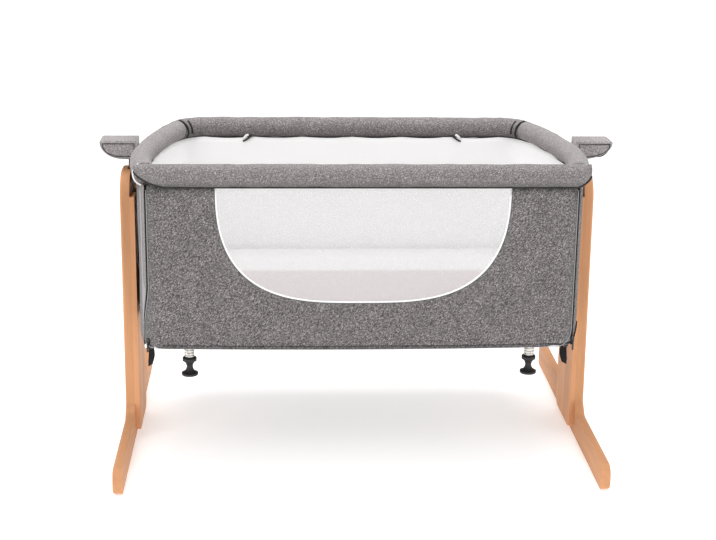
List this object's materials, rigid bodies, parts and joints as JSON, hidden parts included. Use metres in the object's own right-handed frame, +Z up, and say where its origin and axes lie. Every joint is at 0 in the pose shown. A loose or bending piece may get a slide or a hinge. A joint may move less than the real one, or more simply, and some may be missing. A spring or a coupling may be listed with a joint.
{
  "type": "bedside_sleeper_crib",
  "caption": "Bedside sleeper crib with grey fabric basket, mesh window, padded rail and beech T-legs; height-adjustable, with a lowering front side.",
  "frame": {"origin": "on the floor, below the middle of the crib's overall box", "axes": "+X along the long rails to the right, +Y away from the side that stands against the bed, +Z up"},
  "size_m": [1.076, 0.76, 0.6425],
  "materials": {
    "beech_wood": "oiled, pale beech",
    "black_rubber": "matt",
    "black_steel": "black powder coat",
    "brown_plastic": "moulded, brown",
    "bright_steel": "bright plated",
    "black_plastic": "moulded, black",
    "grey_melange_cloth": "grey melange weave",
    "grey_powder_coat": "satin powder coat",
    "pale_board": "plain fibreboard",
    "white_cloth": "plain white cotton",
    "white_mesh": "fine white mesh",
    "dark_webbing": "black woven tape"
  },
  "bodies": {
    "leg_left": {"left_post_outer_board": "beech_wood", "left_post_inner_board": "beech_wood", "left_foot_beam": "beech_wood", "left_floor_pads": "black_rubber", "left_guide_channel": "black_steel", "left_top_guide": "brown_plastic", "left_post_fasteners": "bright_steel"},
    "leg_right": {"right_post_outer_board": "beech_wood", "right_post_inner_board": "beech_wood", "right_foot_beam": "beech_wood", "right_floor_pads": "black_rubber", "right_guide_channel": "black_steel", "right_top_guide": "brown_plastic", "right_post_fasteners": "bright_steel"},
    "basket": {"right_lift_column": "black_steel", "left_lift_column": "black_steel", "right_release_spring": "bright_steel", "left_release_spring": "bright_steel", "right_rail_tube": "grey_powder_coat", "left_rail_tube": "grey_powder_coat", "right_rail_cover": "grey_melange_cloth", "left_rail_cover": "grey_melange_cloth", "right_end_panel": "grey_melange_cloth", "left_end_panel": "grey_melange_cloth", "right_zip_slider": "black_plastic", "left_zip_slider": "black_plastic", "glide_pads": "black_plastic", "lift_brackets": "black_steel", "bracket_bolts": "bright_steel", "lock_housings": "black_plastic", "base_frame": "grey_powder_coat", "base_board": "pale_board", "mattress": "white_cloth", "corner_uprights": "grey_powder_coat", "back_rail_tube": "grey_powder_coat", "back_rail_cover": "grey_melange_cloth", "back_panel": "grey_melange_cloth", "bottom_cover": "grey_melange_cloth", "inner_liner": "white_cloth", "liner_hooks": "black_plastic", "zip_tapes": "dark_webbing", "front_panel": "grey_melange_cloth", "front_mesh": "white_mesh", "foot_studs": "bright_steel", "foot_rubbers": "black_rubber", "anchor_straps": "dark_webbing", "strap_buckles": "black_plastic"},
    "drop_rail": {"front_rail_tube": "grey_powder_coat", "front_rail_cover": "grey_melange_cloth", "slide_carriages": "black_plastic"},
    "latch_right": {"right_latch_plunger": "bright_steel"},
    "latch_left": {"left_latch_plunger": "bright_steel"},
    "handle_right": {"right_handle_core": "black_plastic", "right_handle_cover": "grey_melange_cloth", "right_release_rod": "black_steel"},
    "handle_left": {"left_handle_core": "black_plastic", "left_handle_cover": "grey_melange_cloth", "left_release_rod": "black_steel"},
    "pin_right": {"right_lock_pin": "bright_steel"},
    "pin_left": {"left_lock_pin": "bright_steel"}
  },
  "joints": [
    {"name": "height_left", "type": "slide", "parent": "leg_left", "child": "basket", "axis": [0, 0, 1], "range_m": [0, 0.15]},
    {"name": "height_right", "type": "slide", "parent": "basket", "child": "leg_right", "axis": [0, 0, -1], "range_m": [0, 0.15]},
    {"name": "drop_side", "type": "slide", "parent": "basket", "child": "drop_rail", "axis": [0, 0, -1], "range_m": [0, 0.21], "deforming": ["front_panel", "front_mesh", "zip_tapes"]},
    {"name": "latch_pull_right", "type": "slide", "parent": "drop_rail", "child": "latch_right", "axis": [-1, 0, 0], "range_m": [0, 0.006], "stiffness_N_per_m": 400, "springref_m": -0.002},
    {"name": "latch_pull_left", "type": "slide", "parent": "drop_rail", "child": "latch_left", "axis": [1, 0, 0], "range_m": [0, 0.006], "stiffness_N_per_m": 400, "springref_m": -0.002},
    {"name": "release_right", "type": "slide", "parent": "basket", "child": "handle_right", "axis": [0, 0, 1], "range_m": [0, 0.008], "stiffness_N_per_m": 900, "springref_m": -0.004, "deforming": ["right_release_spring"]},
    {"name": "release_left", "type": "slide", "parent": "basket", "child": "handle_left", "axis": [0, 0, 1], "range_m": [0, 0.008], "stiffness_N_per_m": 900, "springref_m": -0.004, "deforming": ["left_release_spring"]},
    {"name": "pin_draw_right", "type": "slide", "parent": "basket", "child": "pin_right", "axis": [-1, 0, 0], "range_m": [0, 0.005]},
    {"name": "pin_draw_left", "type": "slide", "parent": "basket", "child": "pin_left", "axis": [1, 0, 0], "range_m": [0, 0.005]}
  ],
  "couplings": [
    {"joint": "height_right", "follows": "height_left", "ratio": 1},
    {"joint": "pin_draw_right", "follows": "release_right", "ratio": 0.625},
    {"joint": "pin_draw_left", "follows": "release_left", "ratio": 0.625}
  ]
}
